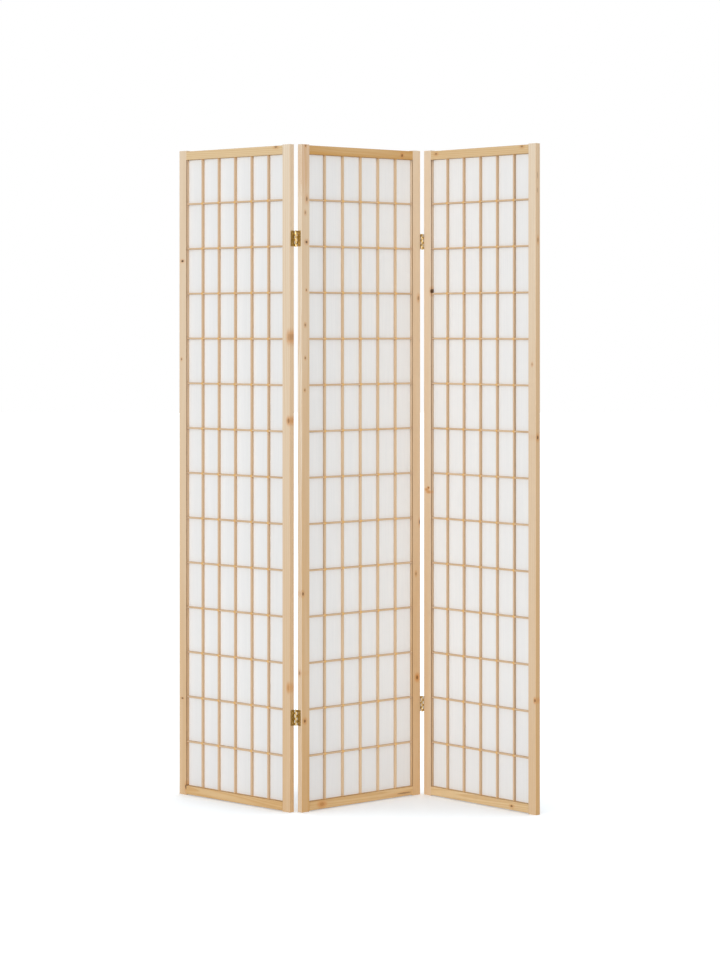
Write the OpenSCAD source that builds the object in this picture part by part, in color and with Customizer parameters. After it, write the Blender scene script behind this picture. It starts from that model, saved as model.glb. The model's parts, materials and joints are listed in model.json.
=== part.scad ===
// Three-panel folding screen: pine frames, a slat lattice in front of paper, and brass hinges.
// Millimetres, +Z up. The front faces -Y and the zigzag of panels runs along X.
// The origin lies on the floor, at the middle of the footprint of the half-folded screen.

/* [Panels] */
// Height of each panel
panel_h = 1700; // [1300:10:2100]
// Width of each panel
panel_w = 400; // [300:5:600]
// Thickness of the frame, front to back
frame_t = 16; // [14:0.5:24]
// Face width of the upright stiles
stile_w = 26; // [22:1:40]
// Height of the top and bottom rails
rail_h = 23; // [20:1:60]
// How far the stiles stand out past the rails, at the top and at the floor
stile_horn = 2; // [0.5:0.5:12]
// How far the faces of the rails sit behind the faces of the stiles
rail_setback = 0.4; // [0.2:0.1:1]
// Radius of the eased long edges
edge_r = 1.2; // [0.4:0.1:2]

/* [Lattice] */
// Columns of cells across a panel
columns = 6; // [3:1:8]
// Rows of cells up a panel
rows = 14; // [8:1:18]
// Face width of a slat
slat_w = 4.5; // [3:0.5:7]
// Depth of a slat, front to back
slat_d = 7; // [4:0.5:8]
// How far the lattice sits behind the front of the frame
slat_setback = 4; // [2:0.5:5]
// How much narrower the cells beside the stiles are than the others
side_cell_trim = 2.4; // [0:0.2:6]
// Length of each slat end that is let into the frame
slat_tenon = 5; // [3:0.5:6]

/* [Paper] */
// Thickness of the paper sheet
paper_t = 0.3; // [0.2:0.1:1]
// Margin of the sheet that is glued onto the frame, on each side
paper_lap = 5; // [3:0.5:8]
// Clearance between the edge of the sheet and the walls of its rebate
paper_gap = 0.5; // [0.2:0.1:1.5]

/* [Frame joints] */
// Diameter of the dowels between stiles and rails
dowel_d = 6; // [4:0.5:7]
// Length of a dowel, half of it in the stile
dowel_l = 30; // [16:1:34]
// Distance between the two dowels of a joint
dowel_spacing = 10; // [8:0.5:12]
// Clearance around slat ends and dowels in their sockets
joint_gap = 0.05; // [0.02:0.01:0.2]

/* [Hinges] */
// Height of a hinge
hinge_h = 40; // [34:1:60]
// Distance from a panel's end to the middle of the nearest hinge
hinge_inset = 240; // [120:5:400]
// Width of a leaf on the edge of its stile
leaf_w = 12.8; // [10:0.2:13]
// Thickness of a leaf
leaf_t = 1.2; // [0.8:0.1:1.4]
// Outer radius of the knuckles, and distance from the stile's edge to the pin
knuckle_r = 2.5; // [2.2:0.1:3.5]
// Distance from the face that folds inwards to the pin
pin_standoff = 4.2; // [3.4:0.1:8]
// Knuckles of both leaves together
knuckles = 6; // [2:2:8]
// Gap between one knuckle and the next
knuckle_gap = 0.2; // [0.1:0.05:0.4]
// Clearance between a knuckle and the hollow for it in the other leaf
knuckle_clearance = 0.3; // [0.2:0.05:0.5]
// Diameter of the hinge pin
pin_d = 2.5; // [2:0.1:2.8]
// Running clearance of the pin, all round
pin_gap = 0.05; // [0.02:0.01:0.1]
// Height of the round head at each end of a pin
pin_head_h = 1; // [0.6:0.1:2]
// Diameter of a pin's head where it meets the knuckle
pin_head_d = 4.4; // [3.4:0.1:5]
// Diameter of a pin's head at its end
pin_head_end_d = 3.2; // [1:0.1:3.4]

/* [Screws] */
// Diameter of a screw's countersunk head
screw_head_d = 5; // [4.4:0.1:5.6]
// Diameter of a screw's shank
screw_d = 2.6; // [2:0.1:3]
// Length of a screw in the wood
screw_l = 13; // [8:0.5:16]
// Diameter of the blunt tip of a screw
screw_tip_d = 0.4; // [0.2:0.1:1]
// Length of each slot of the cross in a screw's head
recess_l = 2.75; // [2:0.05:3.5]
// Width of each slot of the cross
recess_w = 0.6; // [0.4:0.05:0.9]
// Depth of the cross
recess_depth = 0.72; // [0.4:0.02:0.76]
// How much deeper the pilot holes are than the screws
pilot_gap = 0.3; // [0.1:0.1:1]
// Distance between the two screws of a leaf
screw_spacing = 25; // [16:0.5:32]

/* [Pose at rest] */
// Turn of the middle panel away from straight across
middle_turn = 39.7; // [0:0.1:60]
// Fold between the left and the middle panel, 0 when flat
left_fold = 81.2; // [0:0.1:180]
// Fold between the middle and the right panel, 0 when flat
right_fold = 86.1; // [0:0.1:180]

/* [Hidden] */
$fn = 48;
cut = 1;

PANELS = ["left", "middle", "right"];

// Frame, in a panel's own axes: X across from its middle, Y backwards from its middle, Z up
rail_t = frame_t - 2 * rail_setback;
opening_w = panel_w - 2 * stile_w;
opening_h = panel_h - 2 * (rail_h + stile_horn);
opening_z = stile_horn + rail_h;
front_y = -frame_t / 2;
shoulder_y = front_y + slat_setback + slat_d;

// Lattice
cell_w = (opening_w - (columns - 1) * slat_w + 2 * side_cell_trim) / columns;
cell_h = (opening_h - (rows - 1) * slat_w) / rows;
upright_x = [for (i = [1 : columns - 1]) (i - columns / 2) * (cell_w + slat_w)];
cross_z = [for (i = [1 : rows - 1]) opening_z + i * (cell_h + slat_w) - slat_w / 2];
slat_y = front_y + slat_setback;
lap_d = slat_d / 2;

// Dowels sit midway between the front of the frame and the glued margin of the paper
dowel_y = (front_y + shoulder_y) / 2;
dowel_z = [for (rail_z = [stile_horn, panel_h - stile_horn - rail_h], side = [-1, 1])
    rail_z + rail_h / 2 + side * dowel_spacing / 2];

// Hinges: the left fold has its pins behind the panels, the right fold in front of them
hinge_z = [panel_h - hinge_inset, hinge_inset];
knuckle_pitch = hinge_h / knuckles;
knuckle_h = knuckle_pitch - knuckle_gap;
bore_r = pin_d / 2 + pin_gap;
screw_y = pin_standoff + leaf_w / 2;
screw_row_y = frame_t / 2 - leaf_w / 2;
screw_reach = leaf_t + screw_l;

// Places of the panels, seen from above
function turned(p, a) = [p.x * cos(a) - p.y * sin(a), p.x * sin(a) + p.y * cos(a)];
pin_from_edge = [panel_w / 2 + knuckle_r, frame_t / 2 + pin_standoff];
left_pin_raw = turned([-pin_from_edge.x, pin_from_edge.y], middle_turn);
right_pin_raw = turned([pin_from_edge.x, -pin_from_edge.y], middle_turn);
turns = [middle_turn - left_fold, middle_turn, middle_turn - right_fold];
raw_middles = [
    left_pin_raw - turned(pin_from_edge, turns[0]),
    [0, 0],
    right_pin_raw + turned(pin_from_edge, turns[2])
];
corners = [for (i = [0 : 2], x = [-1, 1], y = [-1, 1])
    raw_middles[i] + turned([x * panel_w / 2, y * frame_t / 2], turns[i])];
corner_x = [for (c = corners) c.x];
corner_y = [for (c = corners) c.y];
footprint_middle = [(min(corner_x) + max(corner_x)) / 2, (min(corner_y) + max(corner_y)) / 2];
left_pin = left_pin_raw - footprint_middle;
right_pin = right_pin_raw - footprint_middle;
middles = [for (m = raw_middles) m - footprint_middle];
echo(left_pin = left_pin, right_pin = right_pin, middles = middles, turns = turns);

// Moves a piece drawn in a panel's own axes to where that panel stands
module in_panel(i) {
    translate([middles[i].x, middles[i].y, 0]) rotate(turns[i]) children();
}

// A bar of wood along Z with its four long edges eased
module eased_bar(w, t, length) {
    linear_extrude(length) {
        square([w - 2 * edge_r, t], center = true);
        square([w, t - 2 * edge_r], center = true);
        for (x = [-1, 1], y = [-1, 1])
            translate([x * (w / 2 - edge_r), y * (t / 2 - edge_r)]) circle(edge_r);
    }
}

// The rebate in the back of the frame that takes the margin of the paper
module paper_recess() {
    margin = paper_lap + paper_gap;
    translate([-opening_w / 2 - margin, shoulder_y, opening_z - margin])
        cube([opening_w + 2 * margin, frame_t, opening_h + 2 * margin]);
}

// Sockets in the frame for the ends of the uprights
module upright_sockets() {
    for (x = upright_x)
        translate([x - slat_w / 2 - joint_gap, slat_y - joint_gap, opening_z - slat_tenon - joint_gap])
            cube([slat_w + 2 * joint_gap, slat_d + frame_t, opening_h + 2 * (slat_tenon + joint_gap)]);
}

// Sockets in the frame for the ends of the cross slats
module cross_slat_sockets() {
    reach = opening_w / 2 + slat_tenon + joint_gap;
    for (z = cross_z)
        translate([-reach, slat_y - joint_gap, z - slat_w / 2 - joint_gap])
            cube([2 * reach, slat_d + frame_t, slat_w + 2 * joint_gap]);
}

// Round sockets for the dowels, through the seam between stile and rail
module dowel_sockets() {
    for (side = [-1, 1], z = dowel_z)
        translate([side * opening_w / 2, dowel_y, z]) rotate([0, 90, 0])
            cylinder(r = dowel_d / 2 + joint_gap, h = dowel_l + 2 * joint_gap, center = true);
}

// Pilot holes for the hinge screws in one edge of a panel
module pilot_holes(side, fold) {
    for (z = hinge_z, up = [-1, 1])
        translate([side * (panel_w / 2 + cut), fold * screw_row_y, z + up * screw_spacing / 2])
            rotate([0, -side * 90, 0])
                cylinder(r = screw_d / 2 + joint_gap, h = screw_l + cut + pilot_gap);
}

// One stile: side is -1 or 1; fold is 1 for hinges at the back, -1 at the front, 0 for none
module stile(side, fold) {
    color([0.90, 0.80, 0.63]) difference() {
        translate([side * (panel_w - stile_w) / 2, 0, 0]) eased_bar(stile_w, frame_t, panel_h);
        paper_recess();
        cross_slat_sockets();
        dowel_sockets();
        if (fold != 0) pilot_holes(side, fold);
    }
}

// One rail, at the height where its lower edge lies
module rail(z) {
    color([0.85, 0.70, 0.47]) difference() {
        translate([-opening_w / 2, 0, z + rail_h / 2]) rotate([0, 90, 0])
            eased_bar(rail_h, rail_t, opening_w);
        paper_recess();
        upright_sockets();
        dowel_sockets();
    }
}

// The upright slats, each notched at the front for the cross slats
module uprights() {
    color([0.80, 0.65, 0.43]) for (x = upright_x)
        translate([x - slat_w / 2, 0, 0]) rotate([90, 0, 90]) linear_extrude(slat_w) difference() {
            translate([slat_y, opening_z - slat_tenon]) square([slat_d, opening_h + 2 * slat_tenon]);
            for (z = cross_z) translate([slat_y - cut, z - slat_w / 2]) square([lap_d + cut, slat_w]);
        }
}

// The cross slats, each notched at the back for the uprights
module cross_slats() {
    reach = opening_w / 2 + slat_tenon;
    color([0.80, 0.65, 0.43]) for (z = cross_z)
        translate([0, 0, z - slat_w / 2]) linear_extrude(slat_w) difference() {
            translate([-reach, slat_y]) square([2 * reach, slat_d]);
            for (x = upright_x) translate([x - slat_w / 2, slat_y + lap_d]) square([slat_w, slat_d]);
        }
}

// The sheet of paper, glued to the back of the lattice and to the rebate
module paper() {
    color([0.93, 0.93, 0.92])
        translate([-opening_w / 2 - paper_lap, shoulder_y, opening_z - paper_lap])
            cube([opening_w + 2 * paper_lap, paper_t, opening_h + 2 * paper_lap]);
}

// The dowels of the four frame joints
module dowels() {
    color([0.86, 0.74, 0.55]) for (side = [-1, 1], z = dowel_z)
        translate([side * opening_w / 2, dowel_y, z]) rotate([0, 90, 0])
            cylinder(d = dowel_d, h = dowel_l, center = true);
}

// One countersunk screw along +Z, with the top of its head at the origin
module screw() {
    difference() {
        union() {
            translate([0, 0, -leaf_t]) cylinder(d1 = screw_d, d2 = screw_head_d, h = leaf_t);
            translate([0, 0, -screw_reach + screw_d]) cylinder(d = screw_d, h = screw_reach - screw_d);
            translate([0, 0, -screw_reach]) cylinder(d1 = screw_tip_d, d2 = screw_d, h = screw_d);
        }
        for (a = [0, 90]) rotate(a) cube([recess_l, recess_w, 2 * recess_depth], center = true);
    }
}

// The hinge screws in one edge of a panel
module edge_screws(side, fold) {
    color("goldenrod") for (z = hinge_z, up = [-1, 1])
        translate([side * (panel_w / 2 + leaf_t), fold * screw_row_y, z + up * screw_spacing / 2])
            rotate([0, side * 90, 0]) screw();
}

// One leaf, with the pin along Z through the origin and the stile's edge at x = knuckle_r.
// The leaf reaches towards -Y. Its knuckles are every second one, from first upwards.
module leaf(first) {
    color("goldenrod") difference() {
        union() {
            translate([knuckle_r - leaf_t, -pin_standoff - leaf_w, -hinge_h / 2])
                cube([leaf_t, pin_standoff + leaf_w, hinge_h]);
            for (i = [first : 2 : knuckles - 1])
                translate([0, 0, -hinge_h / 2 + i * knuckle_pitch + knuckle_gap / 2])
                    cylinder(r = knuckle_r, h = knuckle_h);
        }
        for (i = [1 - first : 2 : knuckles - 1])
            translate([0, 0, -hinge_h / 2 + i * knuckle_pitch - knuckle_gap / 2])
                cylinder(r = knuckle_r + knuckle_clearance, h = knuckle_pitch + knuckle_gap);
        translate([0, 0, -hinge_h]) cylinder(r = bore_r, h = 2 * hinge_h);
        for (up = [-1, 1])
            translate([knuckle_r - leaf_t, -screw_y, up * screw_spacing / 2]) rotate([0, -90, 0])
                translate([0, 0, -leaf_t])
                    cylinder(r1 = screw_d / 2 + joint_gap, r2 = screw_head_d / 2 + joint_gap, h = leaf_t);
    }
}

// The hinge pin with a low round head at each end
module pin() {
    head_z = hinge_h / 2 + pin_gap;
    color("darkgoldenrod") union() {
        cylinder(d = pin_d, h = 2 * head_z, center = true);
        for (up = [0, 1]) mirror([0, 0, up]) translate([0, 0, head_z])
            cylinder(d1 = pin_head_d, d2 = pin_head_end_d, h = pin_head_h);
    }
}

// Which way the fold at an edge closes: 1 backwards, -1 forwards, 0 where there is no fold
function fold_at(i, side) =
    (i == 0 && side == 1) || (i == 1 && side == -1) ? 1 :
    (i == 1 && side == 1) || (i == 2 && side == -1) ? -1 : 0;

// All hinge screws of one panel
module panel_screws(i) {
    for (side = [-1, 1]) if (fold_at(i, side) != 0) edge_screws(side, fold_at(i, side));
}

// Moves a hinge piece to its pin, in a panel's own axes, and turns it to face that edge
module at_pin(side, fold, z) {
    translate([side * pin_from_edge.x, fold * pin_from_edge.y, z])
        mirror([side > 0 ? 1 : 0, 0, 0]) mirror([0, fold < 0 ? 1 : 0, 0]) children();
}

for (i = [0 : 2]) {
    panel = str(PANELS[i], "_panel_");
    in_panel(i) stile(-1, fold_at(i, -1));
    in_panel(i) stile(1, fold_at(i, 1));
    in_panel(i) rail(panel_h - stile_horn - rail_h);
    in_panel(i) rail(stile_horn);
    in_panel(i) uprights();
    in_panel(i) cross_slats();
    in_panel(i) paper();
    in_panel(i) dowels();
    in_panel(i) panel_screws(i);
}

for (fold = [1, -1], k = [0, 1]) {
    side_panel = fold > 0 ? 0 : 2;
    hinge = str(PANELS[side_panel], k == 0 ? "_upper" : "_lower", "_hinge_");
    in_panel(side_panel) at_pin(fold, fold, hinge_z[k]) leaf(0);
    in_panel(1) at_pin(-fold, fold, hinge_z[k]) leaf(1);
    in_panel(1) at_pin(-fold, fold, hinge_z[k]) pin();
}
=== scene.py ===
"""Three-panel folding screen: planed pine, a lapped lattice, paper and brass hinges, built in its frame."""
import json
import math
import random
from contextlib import contextmanager
from typing import NamedTuple

import bmesh
import bpy
from bpy.props import FloatProperty, FloatVectorProperty, IntProperty, PointerProperty
from mathutils import Matrix, Vector, noise


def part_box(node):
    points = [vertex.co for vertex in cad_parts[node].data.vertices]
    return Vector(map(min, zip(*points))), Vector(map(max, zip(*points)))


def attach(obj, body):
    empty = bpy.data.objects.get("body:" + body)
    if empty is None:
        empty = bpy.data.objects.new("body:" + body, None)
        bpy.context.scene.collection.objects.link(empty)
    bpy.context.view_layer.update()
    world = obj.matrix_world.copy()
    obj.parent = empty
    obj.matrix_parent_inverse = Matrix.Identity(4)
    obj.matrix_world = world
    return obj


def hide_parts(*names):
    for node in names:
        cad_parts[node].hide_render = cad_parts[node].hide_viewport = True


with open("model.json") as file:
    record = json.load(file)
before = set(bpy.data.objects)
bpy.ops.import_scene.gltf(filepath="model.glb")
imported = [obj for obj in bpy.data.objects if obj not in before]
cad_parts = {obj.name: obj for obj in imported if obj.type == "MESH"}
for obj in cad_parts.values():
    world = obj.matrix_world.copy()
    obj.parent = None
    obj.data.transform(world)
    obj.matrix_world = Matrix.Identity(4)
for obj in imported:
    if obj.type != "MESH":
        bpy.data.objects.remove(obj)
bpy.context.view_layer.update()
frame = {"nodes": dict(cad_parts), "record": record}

bl_info = {
    "name": "Folding screen",
    "version": (1, 0, 0),
    "blender": (4, 5, 0),
    "location": "3D View > Sidebar > Folding screen",
    "description": "Models and finishes the pieces of a three-panel folding screen",
    "category": "Object",
}

MM = 0.001
X = Vector((1, 0, 0))
Z = Vector((0, 0, 1))
QUARTER_TURN = math.radians(90)
# Points closer than the first are one point, and lengths closer than the second are equal
SAME_POINT = 0.001 * MM
NEARLY = 0.01 * MM
PANELS = ("left", "middle", "right")
HINGES = ("left_upper", "left_lower", "right_upper", "right_lower")
BODIES = frame["record"]["behaviour"]["bodies"]
BODY_OF = {node: body for body, nodes in BODIES.items() for node in nodes}


# Sizes and colours that a user would change

def length(name, description, millimetres):
    """A length property with its default in millimetres."""
    return FloatProperty(
        name=name, description=description, default=millimetres * MM, min=0, unit="LENGTH", precision=5)


def colour(name, description, red, green, blue):
    """A colour property with its default as it looks on screen, from 0 to 255."""
    return FloatVectorProperty(
        name=name, description=description, default=(red / 255, green / 255, blue / 255),
        min=0, max=1, subtype="COLOR_GAMMA")


class PineSettings(bpy.types.PropertyGroup):
    """Shaping and colours of the pine."""
    bar_ease: length("Bar easing", "Radius of the long edges of stiles and rails", 1.2)
    end_chamfer: length("End chamfer", "Chamfer on the sawn ends of stiles and rails", 0.4)
    slat_ease: length("Slat easing", "Radius of the edges of the slats", 0.35)
    socket_gap: length("Socket gap", "Clearance around slat ends and screws in the frame", 0.05)
    rebate_gap: length("Rebate gap", "Clearance around the paper in its rebate", 0.5)
    groove: length("Groove", "Depth of the groove along the inner edges of the frame", 2.0)
    groove_width: length("Groove width", "Width of that groove", 2.2)
    groove_inset: length("Groove inset", "How far behind the front the groove starts", 0.7)
    stile_early: colour("Stile, early wood", "Pale part of the stiles' rings", 241, 228, 208)
    stile_late: colour("Stile, late wood", "Dark lines of the stiles' rings", 218, 190, 152)
    rail_early: colour("Rail, early wood", "Pale part of the rails' rings", 231, 206, 164)
    rail_late: colour("Rail, late wood", "Dark lines of the rails' rings", 206, 168, 118)
    slat_early: colour("Slat, early wood", "Pale part of the slats' rings", 224, 199, 168)
    slat_late: colour("Slat, late wood", "Dark lines of the slats' rings", 203, 171, 136)
    # The darker tone is the boards' own cloudy tone, and also painted shade towards the floor and painted
    # light and painted shade on the outer edge faces
    darker_tone: colour("Darker tone and painted shading", "What the boards turn towards where they are darker", 204, 156, 90)
    knot: colour("Knot", "Heart of a knot", 72, 44, 20)
    resin: colour("Resin", "Wood around a knot", 206, 146, 84)
    # This colour is painted shade on the inner sides of the frame, in its groove and on the sides of the
    # slats, and a flat darker tone on the cross slats
    sawn: colour("Painted shade", "Sides that were sawn and not planed", 150, 98, 52)
    lap: colour("Lap", "Wood where two slats are glued across each other", 230, 182, 108)
    dowel: colour("Dowel", "Beech dowels", 214, 180, 138)


class PaperSettings(bpy.types.PropertyGroup):
    """Shape and colours of the paper."""
    slack: length("Slack", "How far the sheet can bulge between the slats", 0.35)
    white: colour("White", "The sheet itself", 247, 248, 248)
    fibre: colour("Fibre", "Long fibres in the sheet", 233, 235, 237)
    # Painted shade on the sheet near the floor
    shaded: colour("Shaded", "What the sheet turns towards near the floor", 229, 229, 230)
    # The wood's colour through the thin sheet, together with a painted shadow of the lattice
    glued: colour("Glued", "The sheet where the wood behind it shows through", 222, 206, 182)
    shade_height: length("Shade height", "How high above the floor the sheet is dusty", 420)


class BrassSettings(bpy.types.PropertyGroup):
    """Shaping and colours of the brass."""
    leaf_thickness: length("Leaf thickness", "Thickness of the sheet that a leaf is rolled from", 1.2)
    knuckle_gap: length("Knuckle gap", "Gap between one knuckle and the next", 0.2)
    knuckle_room: length("Knuckle room", "Clearance behind the other leaf's knuckles", 0.9)
    corner: length("Corner radius", "Radius of a leaf's free corners", 2.0)
    edge: length("Edge rounding", "Rounding of stamped edges", 0.15)
    pin_diameter: length("Pin diameter", "Diameter of a pin between its heads", 2.5)
    recess: length("Recess length", "Length of the cross in a screw's head", 2.9)
    knuckles: IntProperty(name="Knuckles", description="Knuckles of both leaves together", default=6, min=2)
    curl: FloatProperty(
        name="Curl", description="How far a knuckle is rolled round", default=math.radians(296),
        min=0, max=math.tau, subtype="ANGLE")
    # Also painted on the knuckles, partly as rubbed brass and partly as a painted highlight
    bright: colour("Bright brass", "Brass where it is rubbed", 230, 202, 138)
    dull: colour("Dull brass", "Brass where it has tarnished", 122, 93, 38)
    dark: colour("Dark brass", "Brass in its hollows", 70, 46, 12)


class StageSettings(bpy.types.PropertyGroup):
    """Camera, floor and light."""
    lens: FloatProperty(
        name="Lens", description="Focal length for an image 36 mm tall", default=95.52, unit="CAMERA")
    eye: FloatVectorProperty(
        name="Eye", description="Place of the camera", default=(0.011, -6.596, 1.2349), unit="LENGTH")
    rise: FloatProperty(name="Rise", description="Vertical shift of the lens", default=-0.1594)
    ambient: FloatProperty(name="Ambient", description="Strength of the light from all round", default=0.53)
    key: FloatProperty(name="Key", description="Strength of the soft light from the left", default=1.12)
    fill: FloatProperty(name="Fill", description="Strength of the soft light from the right", default=0.86)
    back: FloatProperty(name="Back", description="Strength of the soft light from behind", default=0.9)
    floor: colour("Floor", "Floor under the screen", 243, 243, 243)
    floor_lift: FloatProperty(
        name="Floor lift", description="Light that the open floor adds for the camera, so that it is white",
        default=0.75)
    foot_lift: FloatProperty(
        name="Foot lift", description="The same close to the foot of the screen, where its shadow lies",
        default=0.27)
    foot_reach: length("Foot reach", "How far from the screen its shadow on the floor reaches", 450)


SETTINGS = {
    "screen_pine": PineSettings,
    "screen_paper": PaperSettings,
    "screen_brass": BrassSettings,
    "screen_stage": StageSettings,
}


class Knot(NamedTuple):
    """A knot in a board, in millimetres: along the board, across it, and its radius."""
    along: float
    across: float
    radius: float
    stretch: float = 1.4
    dark: float = 0.8
    resin: float = 0.5
    on_edge: float = 0.0


class Board(NamedTuple):
    """How a stile or rail was sawn: its heart beside it in millimetres, its rings, tone and knots."""
    heart: tuple
    ring: float = 3.0
    slope: float = 0.004
    darker_tone: float = 0.3
    contrast: float = 0.6
    knots: tuple = ()
    # foot is painted shade towards the floor; edge is painted light on the outer edge face where it is
    # below 0 and painted shade where it is above 0
    foot: float = 0.0
    edge: float = 0.0


BOARDS = {
    "left_panel_left_stile": Board((60, 24), 3.4, 0.006, 0.22, 0.5, (
        Knot(1409, -188, 4.8, 0.62, 1.0), Knot(1150, -191.5, 2.0), Knot(254, -188, 4.0, 0.5, 1.0),
        Knot(21, -175, 3.2, 2.4)),
        foot=0.4),
    "left_panel_right_stile": Board((-40, 60), 4.2, 0.003, 0.14, 0.35, (
        Knot(1209, 198, 5.5, 1.8, 0.2, 0.7), Knot(996, 196, 4.2, 1.5, 0.45, 0.8),
        Knot(317, 195, 3.4, 2.2, 0.1, 0.8)),
        foot=0.5, edge=0.1),
    "left_panel_top_rail": Board((30, 40), 3.0, 0.02, 0.1, 0.5, (Knot(151, 1695, 3.0, 2.0, 0.5),)),
    "left_panel_bottom_rail": Board((-3, 13), 2.8, 0.05, 0.54, 0.8),
    "middle_panel_left_stile": Board((30, 18), 2.6, 0.008, 0.38, 0.5, (
        Knot(1696, -187, 2.4, 1.2, 0.9), Knot(1650, -187, 9.0, 5.0, 0.0, 0.35),
        Knot(1561, -183, 3.0, 2.4, 0.55), Knot(1526, -188, 2.4, 1.8, 0.4),
        Knot(1451, -184, 4.2, 1.0, 0.8), Knot(1329, -184.5, 2.0, 1.3, 0.7),
        Knot(1240, -188, 2.6, 1.6, 0.5), Knot(1156, -188, 2.2, 1.5, 0.6), Knot(1074, -189.5, 2.2, 1.4, 0.6),
        Knot(556, -195.5, 3.2, 1.6, 0.7), Knot(354, 0.6, 4.2, 1.2, 0.4, 0.5, 1.0),
        Knot(232, -189.5, 3.6, 1.3, 0.65, 0.8)),
        foot=0.42, edge=-0.42),
    "middle_panel_right_stile": Board((-28, 20), 2.9, 0.005, 0.23, 0.55, (
        Knot(1311, 193, 3.0, 2.2, 0.5), Knot(720, 198.5, 3.2, 2.2, 0.8), Knot(584, 185, 2.4, 2.0, 0.5),
        Knot(310, 189, 4.4, 1.4, 0.65, 1.0)),
        foot=0.5),
    "middle_panel_top_rail": Board((8, 16), 2.6, 0.03, 0.82, 0.7, (Knot(137, 1685, 5.0, 0.7, 0.6, 0.9),)),
    "middle_panel_bottom_rail": Board((4, 15), 2.6, 0.04, 0.48, 0.7, (
        Knot(145, 10, 2.6, 11.0, 0.5, 0.4), Knot(-133, 14, 5.0, 1.6, 0.2, 0.9))),
    "right_panel_left_stile": Board((44, 22), 3.3, 0.004, 0.18, 0.45, (
        Knot(1329, -174, 3.0, 2.2, 0.9), Knot(811, -183, 2.8, 0.8, 0.7, 0.9),
        Knot(806, -190, 3.8, 0.6, 0.15, 0.8), Knot(800, -182, 5.0, 0.5, 0.1, 0.8)),
        foot=0.35),
    "right_panel_right_stile": Board((-55, 45), 4.6, 0.002, 0.14, 0.35, (
        Knot(1140, 187, 2.2, 1.6, 0.35), Knot(290, 196.8, 2.8, 1.6, 0.7, 0.8),
        Knot(1619, -1.8, 2.0, 5.0, 0.3, 0.15, 1.0), Knot(1581, -1.8, 2.0, 4.0, 0.3, 0.15, 1.0),
        Knot(1455, 0, 2.2, 3.0, 0.5, 0.5, 1.0), Knot(955, -1, 3.2, 1.8, 0.8, 0.7, 1.0)),
        foot=0.4, edge=0.33),
    "right_panel_top_rail": Board((55, 60), 3.0, 0.009, 0.22, 0.5, (
        Knot(-155, 1690, 3.0, 1.6, 0.5), Knot(152, 1694, 3.0, 1.8, 0.5))),
    "right_panel_bottom_rail": Board((2, 12), 3.0, -0.05, 0.26, 0.6, (Knot(116, 12, 3.4, 1.4, 0.7),)),
}
# The slats are sawn far from the heart, so their rings run straight
SLAT_BOARD = Board((900, 700), 2.2, 0.0, 0.1, 0.7)


# What the frame says about places and sizes

def middle_of(node):
    """The middle of a CAD node's box."""
    low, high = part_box(node)
    return (low + high) / 2


def panel_axes(panel):
    """A panel's own axes in the room: X across from its middle, Y backwards and Z up from the floor."""
    left = middle_of(f"{panel}_panel_left_stile")
    right = middle_of(f"{panel}_panel_right_stile")
    across = right - left
    middle = (left + right) / 2
    turn = math.atan2(across.y, across.x)
    return Matrix.Translation((middle.x, middle.y, 0)) @ Matrix.Rotation(turn, 4, "Z")


def corners_of(points):
    """The lowest and highest corner of a cloud of points."""
    points = list(points)
    low = Vector([min(point[i] for point in points) for i in range(3)])
    high = Vector([max(point[i] for point in points) for i in range(3)])
    return low, high


def own_box(node, axes):
    """The lowest and highest corner of a CAD node, in the axes given."""
    inverse = axes.inverted()
    return corners_of(inverse @ vertex.co for vertex in frame["nodes"][node].data.vertices)


def own_boxes(node, axes):
    """The corners of each separate solid of a CAD node, in the axes given and in order of place."""
    mesh = bmesh.new()
    mesh.from_mesh(frame["nodes"][node].data)
    mesh.transform(axes.inverted())
    bmesh.ops.remove_doubles(mesh, verts=mesh.verts, dist=SAME_POINT)
    boxes = []
    waiting = set(mesh.verts)
    while waiting:
        reached = [waiting.pop()]
        solid = list(reached)
        while reached:
            vertex = reached.pop()
            new = {edge.other_vert(vertex) for edge in vertex.link_edges} & waiting
            waiting -= new
            reached.extend(new)
            solid.extend(new)
        boxes.append(corners_of(vertex.co for vertex in solid))
    mesh.free()
    return sorted(boxes, key=lambda box: [round(v, 6) for v in (*box[0], *box[1])])


def opening_of(panel, axes):
    """The corners of the opening in a panel's frame, from its front to its back, in the axes given."""
    left, right, bottom, top = [
        own_box(f"{panel}_panel_{part}", axes)
        for part in ("left_stile", "right_stile", "bottom_rail", "top_rail")]
    return Vector((left[1].x, left[0].y, bottom[1].z)), Vector((right[0].x, left[1].y, top[0].z))


def pitch_of(places):
    """The even spacing of places along a line."""
    return (max(places) - min(places)) / (len(places) - 1)


# Modelling by hand, in code

def only(*pieces):
    """Select these pieces and nothing else, the first of them active."""
    bpy.ops.object.select_all(action="DESELECT")
    for piece in pieces:
        piece.select_set(True)
    bpy.context.view_layer.objects.active = pieces[0]


@contextmanager
def editing(piece):
    """Edit mode for one piece alone, and object mode again afterwards."""
    only(piece)
    bpy.ops.object.mode_set(mode="EDIT")
    try:
        yield
    finally:
        bpy.ops.object.mode_set(mode="OBJECT")


def primitive(name, add, scale=(1, 1, 1), **settings):
    """Add a primitive with nothing else selected, and put its place, turn and scale into its mesh."""
    bpy.ops.object.select_all(action="DESELECT")
    add(**settings)
    piece = bpy.context.object
    piece.name = piece.data.name = name
    piece.scale = scale
    only(piece)
    bpy.ops.object.transform_apply(location=True, rotation=True, scale=True)
    return piece


def block(name, low, high):
    """A block between two corners."""
    return primitive(name, bpy.ops.mesh.primitive_cube_add, high - low, size=1, location=(low + high) / 2)


def joined(pieces):
    """Make one piece of several separate solids."""
    only(*pieces)
    if len(pieces) > 1:
        bpy.ops.object.join()
    return pieces[0]


def copy_of(piece, matrix):
    """A copy with its own mesh, moved by a matrix."""
    new = piece.copy()
    new.data = piece.data.copy()
    new.data.transform(matrix)
    bpy.context.scene.collection.objects.link(new)
    return new


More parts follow.
